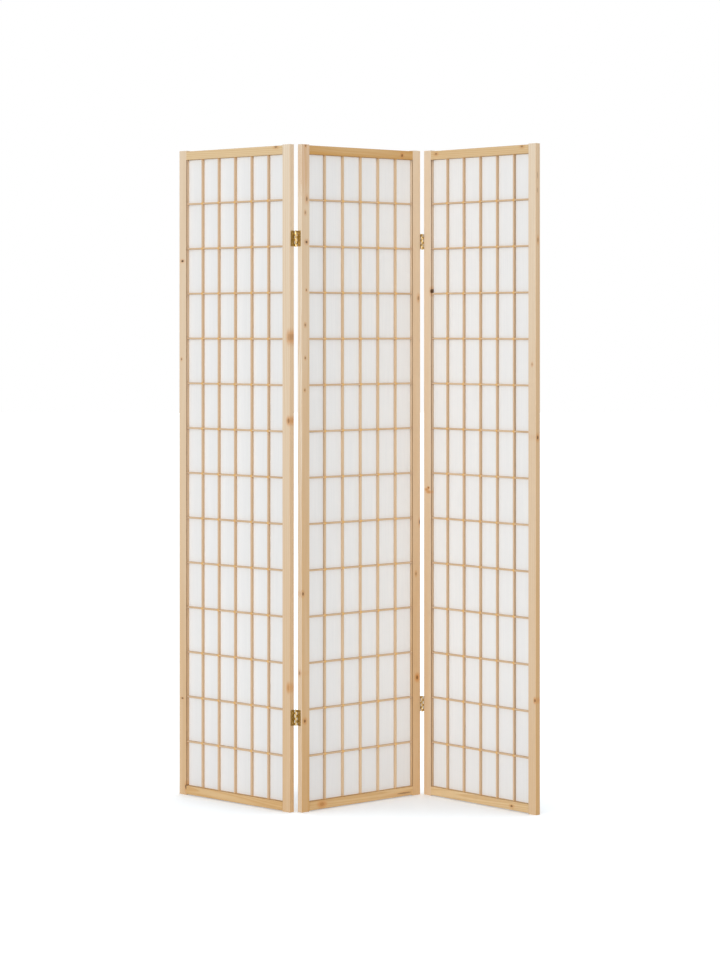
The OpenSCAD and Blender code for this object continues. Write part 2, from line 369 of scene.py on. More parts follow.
def pick(piece, kind, wanted):
    """Select in edit mode just the verts, edges or faces that pass a test."""
    mode = {"verts": "VERT", "edges": "EDGE", "faces": "FACE"}[kind]
    bpy.ops.mesh.select_mode(type=mode)
    bpy.ops.mesh.select_all(action="DESELECT")
    mesh = bmesh.from_edit_mesh(piece.data)
    chosen = [item for item in getattr(mesh, kind) if wanted(item)]
    if not chosen:
        raise RuntimeError(f"{piece.name} has no {kind} to shape there")
    for item in chosen:
        item.select_set(True)
    bmesh.update_edit_mesh(piece.data)


def rise_of(edge, axis):
    """How far an edge runs along an axis."""
    return abs((edge.verts[0].co - edge.verts[1].co).dot(axis))


def ease_bar(piece, axis, radius, end_chamfer):
    """Round the long edges of a bar, and take the sharpness off its sawn ends."""
    with editing(piece):
        pick(piece, "edges", lambda edge: rise_of(edge, axis) > 0.9 * edge.calc_length())
        bpy.ops.mesh.bevel(offset=radius, segments=4, profile=0.5, affect="EDGES", clamp_overlap=False)
        pick(piece, "edges", lambda edge: rise_of(edge, axis) < NEARLY)
        bpy.ops.mesh.bevel(offset=end_chamfer, segments=2, profile=0.5, affect="EDGES", clamp_overlap=False)


def extrude_up(height):
    """Extrude what is selected straight up, or down where the height is negative."""
    bpy.ops.mesh.extrude_region_move(TRANSFORM_OT_translate={"value": (0, 0, height)})


def widen(factor):
    """Scale what is selected across, and leave its height."""
    bpy.ops.transform.resize(value=(factor, factor, 1))


def apply_modifier(piece, kind, **settings):
    """Add a modifier to the piece, set it and apply it."""
    only(piece)
    modifier = piece.modifiers.new(kind.lower(), kind)
    for setting, value in settings.items():
        setattr(modifier, setting, value)
    bpy.ops.object.modifier_apply(modifier=modifier.name)


def ease_edges(piece, width, segments, angle):
    """Round every edge of the piece that is sharper than an angle in degrees."""
    apply_modifier(piece, "BEVEL", width=width, segments=segments, limit_method="ANGLE",
                   angle_limit=math.radians(angle))


def carve(piece, cutter):
    """Cut one shape out of another, and clear the cutter away."""
    apply_modifier(piece, "BOOLEAN", operation="DIFFERENCE", solver="EXACT", object=cutter)
    bpy.data.objects.remove(cutter)


def shade(piece, angle=40):
    """Shade round edges smooth and keep edges that are sharper than an angle in degrees."""
    only(piece)
    bpy.ops.object.shade_smooth_by_angle(angle=math.radians(angle))


def smooth(piece, angle=40):
    """Shade round edges smooth and keep flat faces flat."""
    shade(piece, angle)
    apply_modifier(piece, "WEIGHTED_NORMAL", keep_sharp=True)


def turn_outward(piece):
    """Merge doubles and turn every face outwards."""
    with editing(piece):
        bpy.ops.mesh.select_all(action="SELECT")
        bpy.ops.mesh.remove_doubles(threshold=SAME_POINT)
        bpy.ops.mesh.normals_make_consistent(inside=False)


def mark(piece, name, kind, domain, values):
    """Store one value for each point or face of a piece, under the name that its material reads."""
    marks = piece.data.attributes.new(name, kind, domain)
    field = "vector" if kind == "FLOAT_VECTOR" else "value"
    for item, value in zip(marks.data, values):
        setattr(item, field, value)


def points_of(piece):
    """The places of a piece's points."""
    return [vertex.co.copy() for vertex in piece.data.vertices]


def mark_board(piece, along_x=False, shift=Vector()):
    """Store where each point lies across, into and along the board that the piece was sawn from."""
    places = [Vector((place.z, place.y, place.x)) if along_x else place for place in points_of(piece)]
    mark(piece, "board", "FLOAT_VECTOR", "POINT", [place + shift for place in places])


def mark_faces(piece, name, share):
    """Store a share for each face, such as how roughly it was sawn, from its middle and its normal."""
    shares = [share(face.center, face.normal) for face in piece.data.polygons]
    mark(piece, name, "FLOAT", "FACE", shares)


def mark_laps(piece, axis, crossings):
    """Store how many laps along the slat each point lies: whole numbers are at the middle of one."""
    laps = [(place.dot(axis) - min(crossings)) / pitch_of(crossings) for place in points_of(piece)]
    mark(piece, "laps", "FLOAT", "POINT", laps)


def mark_cells(piece, slats_up, slats_across):
    """Store where each point lies in the lattice, counted in cells from its first slats."""
    pitch_x = pitch_of(slats_up)
    pitch_z = pitch_of(slats_across)
    mark(piece, "cells", "FLOAT_VECTOR", "POINT", [
        ((place.x - slats_up[0]) / pitch_x, 0, (place.z - slats_across[0]) / pitch_z)
        for place in points_of(piece)])


def put_in_place(piece, name, axes, material, node):
    """Move a finished piece from its own axes into the room, where it stands for a CAD node."""
    piece.name = piece.data.name = name
    piece.data.transform(axes)
    if axes.determinant() < 0:
        turn_outward(piece)
        smooth(piece)
    for corner, wanted in zip(corners_of(points_of(piece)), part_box(node)):
        if (corner - wanted).length > MM:
            raise RuntimeError(f"{piece.name} doesn't fill the place of {node}")
    piece.data.materials.clear()
    piece.data.materials.append(material)
    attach(piece, BODY_OF[node])
    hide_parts(node)


# Shader nodes

def add_node(tree, kind, inputs=None, **settings):
    """Add a node, set it up, and link or set its inputs."""
    node = tree.nodes.new("ShaderNode" + kind)
    for setting, value in settings.items():
        setattr(node, setting, value)
    for socket, value in (inputs or {}).items():
        if isinstance(value, bpy.types.NodeSocket):
            tree.links.new(value, node.inputs[socket])
        else:
            node.inputs[socket].default_value = value
    return node


def maths(tree, operation, *values):
    """The result of a Math node."""
    return add_node(tree, "Math", dict(enumerate(values)), operation=operation).outputs[0]


def plus(tree, first, second):
    """Two values added."""
    return maths(tree, "ADD", first, second)


def minus(tree, first, second):
    """One value taken from another."""
    return maths(tree, "SUBTRACT", first, second)


def times(tree, first, second):
    """Two values multiplied."""
    return maths(tree, "MULTIPLY", first, second)


def apart(tree, first, second):
    """How far apart two values are."""
    return maths(tree, "ABSOLUTE", minus(tree, first, second))


def from_middle(tree, across, along):
    """How far a place lies from the middle, from its two coordinates."""
    return maths(tree, "SQRT", maths(tree, "MULTIPLY_ADD", across, across, times(tree, along, along)))


def mixed(tree, share, first, second):
    """The result of mixing two colours."""
    return add_node(tree, "Mix", {0: share, 6: first, 7: second}, data_type="RGBA").outputs[2]


def stepped(tree, value, low, high, to_low=0.0, to_high=1.0):
    """A value that changes smoothly as another passes from low to high."""
    inputs = {0: value, 1: low, 2: high, 3: to_low, 4: to_high}
    return add_node(tree, "MapRange", inputs, interpolation_type="SMOOTHSTEP").outputs[0]


def vectors(tree, operation, *values):
    """The vector that a Vector Math node puts out."""
    return add_node(tree, "VectorMath", dict(enumerate(values)), operation=operation).outputs[0]


def scaled(tree, place, *scale):
    """A place scaled along each axis, so that a pattern on it is that much finer."""
    return vectors(tree, "MULTIPLY", place, scale)


def parts_of(tree, vector):
    """The X, Y and Z of a vector."""
    return add_node(tree, "SeparateXYZ", {0: vector}).outputs


def stored(tree, name, output="Fac"):
    """What a piece has stored under a name."""
    return add_node(tree, "Attribute", attribute_name=name).outputs[output]


def object_place(tree):
    """The place of a point in Object coordinates."""
    return add_node(tree, "TexCoord").outputs["Object"]


def noise_at(tree, place, seed=0.0, scale=1.0, detail=2.0, output="Fac"):
    """Noise at a place, with a seed of its own."""
    inputs = {"Vector": place, "W": seed, "Scale": scale, "Detail": detail}
    return add_node(tree, "TexNoise", inputs, noise_dimensions="4D").outputs[output]


def new_group(name, inputs, outputs):
    """A shader node group with named sockets: its tree, its input node and its output node."""
    tree = bpy.data.node_groups.new(name, "ShaderNodeTree")
    for label, kind in inputs.items():
        tree.interface.new_socket(name=label, in_out="INPUT", socket_type="NodeSocket" + kind)
    for label, kind in outputs.items():
        tree.interface.new_socket(name=label, in_out="OUTPUT", socket_type="NodeSocket" + kind)
    return tree, tree.nodes.new("NodeGroupInput").outputs, tree.nodes.new("NodeGroupOutput").inputs


def grouped(tree, name, build, inputs):
    """The outputs of a shared node group, which is built the first time that it is asked for."""
    group = bpy.data.node_groups.get(name) or build(name)
    return add_node(tree, "Group", inputs, node_tree=group).outputs


def feed(tree, sockets, values):
    """Link each value to the socket of its name."""
    for name, value in values.items():
        tree.links.new(value, sockets[name])


def pine_grain(name):
    """Rings round the heart of the tree, fine fibres along it, and slow clouds of tone."""
    tree, given, result = new_group(
        name,
        {"Board": "Vector", "Heart": "Vector", "Ring": "Float", "Slope": "Float", "Seed": "Float"},
        {"Late": "Float", "Fibre": "Float", "Cloud": "Float"})
    board, seed = given["Board"], given["Seed"]
    bend = 14 * MM
    sway = noise_at(tree, scaled(tree, board, 16, 16, 1.7), seed, output="Color")
    sway = scaled(tree, vectors(tree, "SUBTRACT", sway, (0.5, 0.5, 0.5)), bend, bend, 0)
    part = parts_of(tree, vectors(tree, "SUBTRACT", vectors(tree, "ADD", board, sway), given["Heart"]))
    across = maths(tree, "MULTIPLY_ADD", part[2], given["Slope"], part[0])
    year = maths(tree, "FRACT", maths(tree, "DIVIDE", from_middle(tree, across, part[1]), given["Ring"]))
    swelling = stepped(tree, year, 0.25, 0.85)
    ending = stepped(tree, year, 0.9, 1.0, 1.0, 0.0)
    feed(tree, result, {
        "Late": times(tree, swelling, ending),
        "Fibre": noise_at(tree, scaled(tree, board, 1500, 1500, 22), seed, detail=3.0),
        "Cloud": noise_at(tree, scaled(tree, board, 40, 40, 2.2), seed)})
    return tree


def pine_knot(name):
    """A knot: its heart, the resin round it, and how it pushes the rings aside."""
    tree, given, result = new_group(
        name,
        {"Board": "Vector", "Along": "Float", "Across": "Float", "Radius": "Float", "Stretch": "Float",
         "On edge": "Float"},
        {"Core": "Float", "Resin": "Float", "Push": "Vector"})
    on_edge = given["On edge"]
    on_face = minus(tree, 1.0, on_edge)
    part = parts_of(tree, given["Board"])
    side = maths(tree, "MULTIPLY_ADD", part[1], on_edge, times(tree, part[0], on_face))
    side = minus(tree, side, given["Across"])
    along = maths(tree, "DIVIDE", minus(tree, part[2], given["Along"]), given["Stretch"])
    ragged = noise_at(tree, given["Board"], given["Along"], scale=420.0)
    distance = maths(tree, "DIVIDE", from_middle(tree, side, along), given["Radius"])
    distance = plus(tree, distance, times(tree, ragged, 0.7))
    near = stepped(tree, distance, 1.0, 3.2, 1.0, 0.0)
    push = times(tree, times(tree, side, near), -0.8)
    aside = add_node(tree, "CombineXYZ", {0: times(tree, push, on_face), 1: times(tree, push, on_edge)})
    feed(tree, result, {
        "Core": stepped(tree, distance, 0.95, 1.35, 1.0, 0.0),
        "Resin": near,
        "Push": aside.outputs[0]})
    return tree


def tarnish(name):
    """How brass dulls: broad clouds, and fine rubbing marks."""
    tree, given, result = new_group(name, {"Place": "Vector"}, {"Cloud": "Float", "Rubbing": "Float"})
    feed(tree, result, {
        "Cloud": noise_at(tree, given["Place"], scale=260.0, detail=4.0),
        "Rubbing": noise_at(tree, scaled(tree, given["Place"], 900, 900, 5200))})
    return tree


# Materials

# How much painted shade the paper has near the floor, how far the wood and a painted shadow of the lattice
# show through it, and how dull the brass is
SHADE_AT_FOOT = 0.4
WOOD_AND_SHADOW_THROUGH_PAPER = 0.6
DULLNESS = {"leaf": 0.6, "pin": 0.15, "screw": 0.05}
# Painted shade on the inner sides of the frame and of its groove and on the sides of the slats, and a flat
# darker tone on the cross slats
SHADE_IN_GROOVE = 0.8
SHADE_FACING_RIGHT = 0.3
SHADE_ON_OTHER_INNER_SIDES = 0.1
SLAT_SHADE_FACING_RIGHT = 0.22
SLAT_SHADE_UP_AND_DOWN = 0.15
CROSS_SLAT_DARKER_TONE = 0.06
# How far along a slat the glue of a lap shows
LAP_REACH = 5 * MM
# How far the noise of one board or sheet lies from that of the next
BOARD_SEED_STEP = 3.7
SHEET_SEED_STEP = 5.0


def linear(gamma_colour):
    """A colour as it looks on screen, made linear, with full alpha."""
    steps = [c / 12.92 if c <= 0.04045 else ((c + 0.055) / 1.055) ** 2.4 for c in gamma_colour]
    return (*steps, 1.0)


def new_material(name, roughness, specular=0.5, metallic=0.0):
    """A material with its node tree and its Principled shader."""
    material = bpy.data.materials.new(name)
    material.use_nodes = True
    shader = material.node_tree.nodes["Principled BSDF"]
    shader.inputs["Roughness"].default_value = roughness
    shader.inputs["Specular IOR Level"].default_value = specular
    shader.inputs["Metallic"].default_value = metallic
    return material, material.node_tree, shader


def add_bump(tree, shader, height, distance):
    """Let a height change the normal, by a distance at most."""
    bump = add_node(tree, "Bump", {"Height": height, "Distance": distance, "Strength": 1.0})
    tree.links.new(bump.outputs[0], shader.inputs["Normal"])


def pine_material(name, early, late, board, middle, seed, outer=0.0, height=1.0):
    """Pine as one board shows it: outer is where its outer edge lies, and height where its top end is."""
    pine = bpy.context.scene.screen_pine
    material, tree, shader = new_material(name, 0.6, 0.3)
    place = stored(tree, "board", "Vector")
    knots = [
        grouped(tree, "Pine knot", pine_knot, {
            "Board": place, "Along": knot.along * MM, "Across": knot.across * MM,
            "Radius": knot.radius * MM, "Stretch": knot.stretch, "On edge": knot.on_edge})
        for knot in board.knots]
    pushed = place
    for knot in knots:
        pushed = vectors(tree, "ADD", pushed, knot["Push"])
    grain = grouped(tree, "Pine grain", pine_grain, {
        "Board": pushed, "Heart": middle + Vector((*board.heart, 0)) * MM, "Ring": board.ring * MM,
        "Slope": board.slope, "Seed": seed})
    wood = mixed(tree, times(tree, grain["Late"], board.contrast), linear(early), linear(late))
    part = parts_of(tree, place)
    cloudy = stepped(tree, grain["Cloud"], 0.25, 0.75, board.darker_tone * 0.6, board.darker_tone * 1.4)
    # Painted shade towards the floor and painted light and shade on the outer edge face, added to the
    # boards' own cloudy tone
    wood_shade_near_floor = maths(tree, "MULTIPLY_ADD", part[2], -board.foot / height, board.foot)
    edge_light_and_shade = stepped(tree, apart(tree, part[0], outer), 0.2 * MM, 1.0 * MM, board.edge, 0.0)
    tone_and_painted_shading = plus(tree, plus(tree, cloudy, wood_shade_near_floor), edge_light_and_shade)
    wood = mixed(tree, tone_and_painted_shading, wood, linear(pine.darker_tone))
    wood = mixed(tree, stepped(tree, grain["Fibre"], 0.35, 0.75, 0.0, 0.12), wood, linear(late))
    # Painted shade on the inner sides, in the groove and on the slats' sides, and a flat darker tone on the
    # cross slats
    wood = mixed(tree, stored(tree, "sawn"), wood, linear(pine.sawn))
    rise = maths(tree, "MULTIPLY_ADD", grain["Late"], 0.6, times(tree, grain["Fibre"], 0.5))
    for knot, outputs in zip(board.knots, knots):
        wood = mixed(tree, times(tree, outputs["Resin"], knot.resin), wood, linear(pine.resin))
        wood = mixed(tree, times(tree, outputs["Core"], knot.dark), wood, linear(pine.knot))
        rise = plus(tree, rise, outputs["Core"])
    roughness = stepped(tree, grain["Late"], 0.0, 1.0, 0.66, 0.52)
    feed(tree, shader.inputs, {"Base Color": wood, "Roughness": roughness})
    add_bump(tree, shader, rise, 0.05 * MM)
    return material


def slat_material(name, seed, lap_reach):
    """Pine of the thin slats, each sawn from another place of its board, warmer round each lap."""
    pine = bpy.context.scene.screen_pine
    material = pine_material(name, pine.slat_early, pine.slat_late, SLAT_BOARD, Vector(), seed)
    tree = material.node_tree
    base = tree.nodes["Principled BSDF"].inputs["Base Color"]
    wood = base.links[0].from_socket
    laps = stored(tree, "laps")
    off_lap = apart(tree, laps, maths(tree, "ROUND", laps))
    share = stepped(tree, off_lap, 0.4 * lap_reach, lap_reach, 0.9, 0.0)
    tree.links.new(mixed(tree, share, wood, linear(pine.lap)), base)
    return material


def dowel_material():
    """Turned beech, with its short dark flecks."""
    pine = bpy.context.scene.screen_pine
    material, tree, shader = new_material("beech dowel", 0.6, 0.3)
    fleck = noise_at(tree, scaled(tree, object_place(tree), 400, 400, 2400), detail=3.0)
    wood = mixed(tree, stepped(tree, fleck, 0.45, 0.7, 0.0, 0.5), linear(pine.dowel), linear(pine.darker_tone))
    feed(tree, shader.inputs, {"Base Color": wood})
    add_bump(tree, shader, fleck, 0.03 * MM)
    return material


def over_slats(tree, place, count, half_width):
    """1 where a place lies over one of so many slats, with places and half width counted in cells."""
    blur = 0.3
    nearest = maths(tree, "ROUND", maths(tree, "MINIMUM", maths(tree, "MAXIMUM", place, 0.0), count - 1.0))
    off_slat = apart(tree, place, nearest)
    return stepped(tree, off_slat, (1 - blur) * half_width, (1 + blur) * half_width, 1.0, 0.0)


def wood_and_lattice_shadow_behind(tree, slats_up, slats_across, half_width, low, high):
    """1 where a sheet lies over a slat or over the frame round its opening, and 0 in the open cells."""
    blur = 0.6 * MM
    part = parts_of(tree, stored(tree, "cells", "Vector"))
    wood = 0.0
    for place, slats, edges in (
            (part[0], slats_up, (low.x, high.x)), (part[2], slats_across, (low.z, high.z))):
        pitch = pitch_of(slats)
        wood = maths(tree, "MAXIMUM", wood, over_slats(tree, place, len(slats), half_width / pitch))
        for edge, out in zip(edges, (-1, 1)):
            past = times(tree, minus(tree, place, (edge - slats[0]) / pitch), out * pitch)
            wood = maths(tree, "MAXIMUM", wood, stepped(tree, past, 0.0, blur))
    return wood


def paper_material(slats_up, slats_across, half_width, low, high):
    """White paper with long fibres and faint ribs, through which the wood behind it and a painted shadow of
    the lattice show a little, with painted shade near the floor.
    """
    name = "paper sheet"
    if name in bpy.data.materials:
        return bpy.data.materials[name]
    paper = bpy.context.scene.screen_paper
    material, tree, shader = new_material(name, 0.8, 0.25)
    place = stored(tree, "board", "Vector")
    ribs = noise_at(tree, scaled(tree, place, 260, 1, 6))
    fibres = noise_at(tree, scaled(tree, place, 1500, 1, 160), 3.0, detail=3.0)
    clouds = noise_at(tree, scaled(tree, place, 30, 1, 12), 7.0)
    share = maths(tree, "MULTIPLY_ADD", fibres, 0.3, times(tree, clouds, 0.15))
    share = stepped(tree, maths(tree, "MULTIPLY_ADD", ribs, 0.9, share), 0.45, 0.95, 0.0, 0.35)
    sheet = mixed(tree, share, linear(paper.white), linear(paper.fibre))
    rise = parts_of(tree, object_place(tree))[2]
    # Painted shade near the floor
    paper_shade_near_floor = stepped(tree, rise, 0.0, paper.shade_height, SHADE_AT_FOOT, 0.0)
    sheet = mixed(tree, paper_shade_near_floor, sheet, linear(paper.shaded))
    # The wood behind the sheet and a painted shadow of the lattice
    wood = wood_and_lattice_shadow_behind(tree, slats_up, slats_across, half_width, low, high)
    sheet = mixed(tree, times(tree, wood, WOOD_AND_SHADOW_THROUGH_PAPER), sheet, linear(paper.glued))
    feed(tree, shader.inputs, {"Base Color": sheet})
    add_bump(tree, shader, plus(tree, ribs, fibres), 0.03 * MM)
    return material


def brass_material(part):
    """The brass of all leaves, pins or screws, as dull as they are."""
    name = "brass " + part
    if name in bpy.data.materials:
        return bpy.data.materials[name]
    brass = bpy.context.scene.screen_brass
    dullness = DULLNESS[part]
    material, tree, shader = new_material(name, 0.35, 0.5, 1.0)
    marks = grouped(tree, "Tarnish", tarnish, {"Place": object_place(tree)})
    cloud = stepped(tree, marks["Cloud"], 0.3, 0.7, dullness - 0.3, dullness + 0.3)
    metal = mixed(tree, cloud, linear(brass.bright), linear(brass.dull))
    metal = mixed(tree, stepped(tree, marks["Rubbing"], 0.4, 0.7, 0.0, 0.35), metal, linear(brass.dark))
    # Knuckles: rubbed brass and a painted highlight
    metal = mixed(tree, stored(tree, "worn"), metal, linear(brass.bright))
    roughness = stepped(tree, marks["Cloud"], 0.2, 0.8, 0.22, 0.5)
    feed(tree, shader.inputs, {"Base Color": metal, "Roughness": roughness})
    add_bump(tree, shader, marks["Rubbing"], 0.02 * MM)
    return material


# Frame and lattice

def rebate_cutter(axes, panel):
    """The space of the paper and of what lies behind it."""
    gap = bpy.context.scene.screen_pine.rebate_gap
    low, high = own_box(f"{panel}_panel_paper", axes)
    back = 2 * opening_of(panel, axes)[1].y
    return block("rebate", low - Vector((gap, 0, gap)), Vector((high.x + gap, back, high.z + gap)))


def groove_cutter(axes, panel):
    """The groove that runs round the inner edges of the frame, between its front and the lattice."""
    pine = bpy.context.scene.screen_pine
    low, high = opening_of(panel, axes)
    front = low.y + pine.groove_inset
    return block(
        "groove", Vector((low.x - pine.groove, front, low.z - pine.groove)),
        Vector((high.x + pine.groove, front + pine.groove_width, high.z + pine.groove)))


def socket_cutter(axes, node):
    """The sockets for the ends of all slats of a node, open towards the rebate."""
    gap = bpy.context.scene.screen_pine.socket_gap * Vector((1, 1, 1))
    room = Vector((0, 2 * MM, 0))
    return joined([block("socket", low - gap, high + gap + room) for low, high in own_boxes(node, axes)])


def screw_cutter(axes, panel, side):
    """The holes for the hinge screws in one edge of a panel."""
    gap = bpy.context.scene.screen_pine.socket_gap
    holes = []
    for low, high in own_boxes(f"{panel}_panel_screws", axes):
        if side * low.x > 0:
            holes.append(primitive(
                "pilot hole", bpy.ops.mesh.primitive_cylinder_add, vertices=24,
                radius=SHANK_SHARE * (high.z - low.z) / 2 + gap, depth=high.x - low.x + gap,
                location=(low + high) / 2, rotation=(0, QUARTER_TURN, 0)))
    return joined(holes) if holes else None


def inner_painted_shade(axes, panel, front):
    """How much painted shade lies on the inner sides of a frame, told by a face's middle and normal."""
    groove = bpy.context.scene.screen_pine.groove
    low, high = opening_of(panel, axes)

    def share(middle, normal):
        out = max(low.x - middle.x, middle.x - high.x, low.z - middle.z, middle.z - high.z)
        if middle.y < front or out > groove + NEARLY:
            return 0.0
        if out > NEARLY:
            return SHADE_IN_GROOVE
        return SHADE_FACING_RIGHT if normal.x > 0.5 else SHADE_ON_OTHER_INNER_SIDES

    return share


def frame_bar(panel, part, axis, slats, early, late):
    """A stile or rail: planed, its edges eased, rebated for the paper and socketed for the slats."""
    pine = bpy.context.scene.screen_pine
    node = f"{panel}_panel_{part}"
    axes = panel_axes(panel)
    low, high = own_box(node, axes)
    bar = block(node + "_planed", low, high)
    ease_bar(bar, axis, pine.bar_ease, pine.end_chamfer)
    carve(bar, rebate_cutter(axes, panel))
    carve(bar, groove_cutter(axes, panel))
    carve(bar, socket_cutter(axes, f"{panel}_panel_{slats}"))
    if axis == Z:
        holes = screw_cutter(axes, panel, 1 if low.x > 0 else -1)
        if holes:
            carve(bar, holes)
    mark_board(bar, along_x=axis == X)
    # Painted shade on the inner sides of the frame and in its groove
    mark_faces(bar, "sawn", inner_painted_shade(axes, panel, low.y + pine.bar_ease))
    smooth(bar)
    middle = (low + high) / 2
    if axis == X:
        middle = Vector((middle.z, middle.y, middle.x))
    seed = list(BOARDS).index(node) * BOARD_SEED_STEP
    outer = low.x if low.x < 0 else high.x
    material = pine_material(
        node.replace("_", " "), early, late, BOARDS[node], middle, seed, outer, high.z)
    put_in_place(bar, bar.name, axes, material, node)


def lapped_slats(panel, part, crossing, axis, seed):
    """The slats that run one way: one is planed and notched for those that cross it, then copied."""
    node = f"{panel}_panel_{part}"
    axes = panel_axes(panel)
    places = own_boxes(node, axes)
    low, high = places[0]
    slat = block(part, low, high)
    across = 0 if axis == Z else 2
    centre = low.y + (high.y - low.y) / 2
    depth = (low.y - MM, centre) if axis == Z else (centre, high.y + MM)
    notches = []
    crossings = []
    for other_low, other_high in own_boxes(f"{panel}_panel_{crossing}", axes):
        crossings.append(((other_low + other_high) / 2).dot(axis))
        notch_low, notch_high = other_low.copy(), other_high.copy()
        notch_low[across], notch_high[across] = low[across] - MM, high[across] + MM
        notch_low.y, notch_high.y = depth
        notches.append(block("notch", notch_low, notch_high))
    carve(slat, joined(notches))
    ease_edges(slat, bpy.context.scene.screen_pine.slat_ease, 2, 40)
    # Painted shade on the sides of the slats that face right and on their tops and bottoms, and a flat
    # darker tone on the cross slats
    plain = 0.0 if axis == Z else CROSS_SLAT_DARKER_TONE

    def slat_painted_shade(middle, normal):
        return SLAT_SHADE_FACING_RIGHT * max(0, normal.x) + SLAT_SHADE_UP_AND_DOWN * abs(normal.z) + plain

    draw = random.Random(f"{panel} {part}")
    board_reach = 0.4
    slats = []
    for place_low, _ in places:
        copy = copy_of(slat, Matrix.Translation(place_low - low))
        mark_board(copy, axis == X, Vector([draw.uniform(-board_reach, board_reach) for _ in range(3)]))
        mark_faces(copy, "sawn", slat_painted_shade)
        mark_laps(copy, axis, crossings)
        slats.append(copy)
    bpy.data.objects.remove(slat)
    lattice = joined(slats)
    smooth(lattice)
    name = "pine " + part
    material = bpy.data.materials.get(name) or slat_material(name, seed, LAP_REACH / pitch_of(crossings))
    put_in_place(lattice, node + "_planed", axes, material, node)


# Paper

def stretched_sheet(panel):
    """One sheet: flat where it is glued to frame and slats, a little slack between them."""
    paper = bpy.context.scene.screen_paper
    node = f"{panel}_panel_paper"
    axes = panel_axes(panel)
    low, high = own_box(node, axes)
    size = high - low
    uprights = own_boxes(f"{panel}_panel_uprights", axes)
    slats_up = [(a.x + b.x) / 2 for a, b in uprights]
    slats_across = [(a.z + b.z) / 2 for a, b in own_boxes(f"{panel}_panel_cross_slats", axes)]
    open_low, open_high = opening_of(panel, axes)
    glued_x = [open_low.x, *slats_up, open_high.x]
    glued_z = [open_low.z, *slats_across, open_high.z]
    sheet = primitive(
        node + "_stretched", bpy.ops.mesh.primitive_grid_add, (size.x, size.z, 1), x_subdivisions=54,
        y_subdivisions=180, size=1, location=(low + high) / 2, rotation=(QUARTER_TURN, 0, 0))
    seed = PANELS.index(panel) * SHEET_SEED_STEP
    for vertex in sheet.data.vertices:
        place = vertex.co
        loose = slackness(place.x, glued_x) * slackness(place.z, glued_z)
        swell = 0.6 + 0.4 * noise.noise(Vector((place.x * 12 + seed, 0, place.z * 7)))
        place.y = low.y + paper.slack * loose * swell
    apply_modifier(sheet, "SOLIDIFY", thickness=size.y, offset=-1)
    shade(sheet)
    mark_board(sheet, shift=Vector((seed, 0, seed)))
    mark_cells(sheet, slats_up, slats_across)
    half_width = (uprights[0][1].x - uprights[0][0].x) / 2
    material = paper_material(slats_up, slats_across, half_width, open_low, open_high)
    put_in_place(sheet, sheet.name, axes, material, node)


def slackness(place, glued):
    """How free the sheet is at a place between two glued lines: 0 on a line, 1 midway."""
    for low, high in zip(glued, glued[1:]):
        if low < place < high:
            return math.sin(math.pi * (place - low) / (high - low)) ** 2
    return 0.0


# Hinges

# Radii of a screw hole in a leaf, at the leaf's face and at the wood
COUNTERSINK = 2.6 * MM
SCREW_HOLE = 1.35 * MM
# Screws nearer to a hinge's middle than this are its own
HINGE_REACH = 60 * MM
# How bright the knuckles are painted, partly rubbed brass and partly a painted highlight
KNUCKLE_RUB_AND_HIGHLIGHT = {"outer_leaf": 0.5, "inner_leaf": 0.15}
PIN_HEAD = 1.0 * MM
PIN_HEAD_STEPS = 5
# How far a pin's head is domed, 1 being half a ball
DOME = 0.97
# The radius of a screw's shank beside that of its head
SHANK_SHARE = 0.52


def hinge_axes(hinge, panel, leaf):
    """A leaf's own axes: Z up its pin, the wood's edge beyond +X, the leaf reaching towards -Y."""
    axes = panel_axes(panel)
    pin = axes.inverted() @ middle_of(f"{hinge}_hinge_pin")
    low, high = own_box(f"{hinge}_hinge_{leaf}", axes)
    middle = (low + high) / 2
    wood = 1 if pin.x < 0 else -1
    reach = -1 if middle.y < pin.y else 1
    return axes @ Matrix.Translation(pin) @ Matrix.Diagonal((wood, -reach, 1, 1))


def screw_places(panel, axes):
    """The places of a panel's screw heads that belong to a hinge, in the hinge's axes."""
    places = []
    for low, high in own_boxes(f"{panel}_panel_screws", axes):
        middle = (low + high) / 2
        if abs(middle.z) < HINGE_REACH and abs(middle.x) < HINGE_REACH:
            places.append(Vector((low.x, middle.y, middle.z)))
    return places


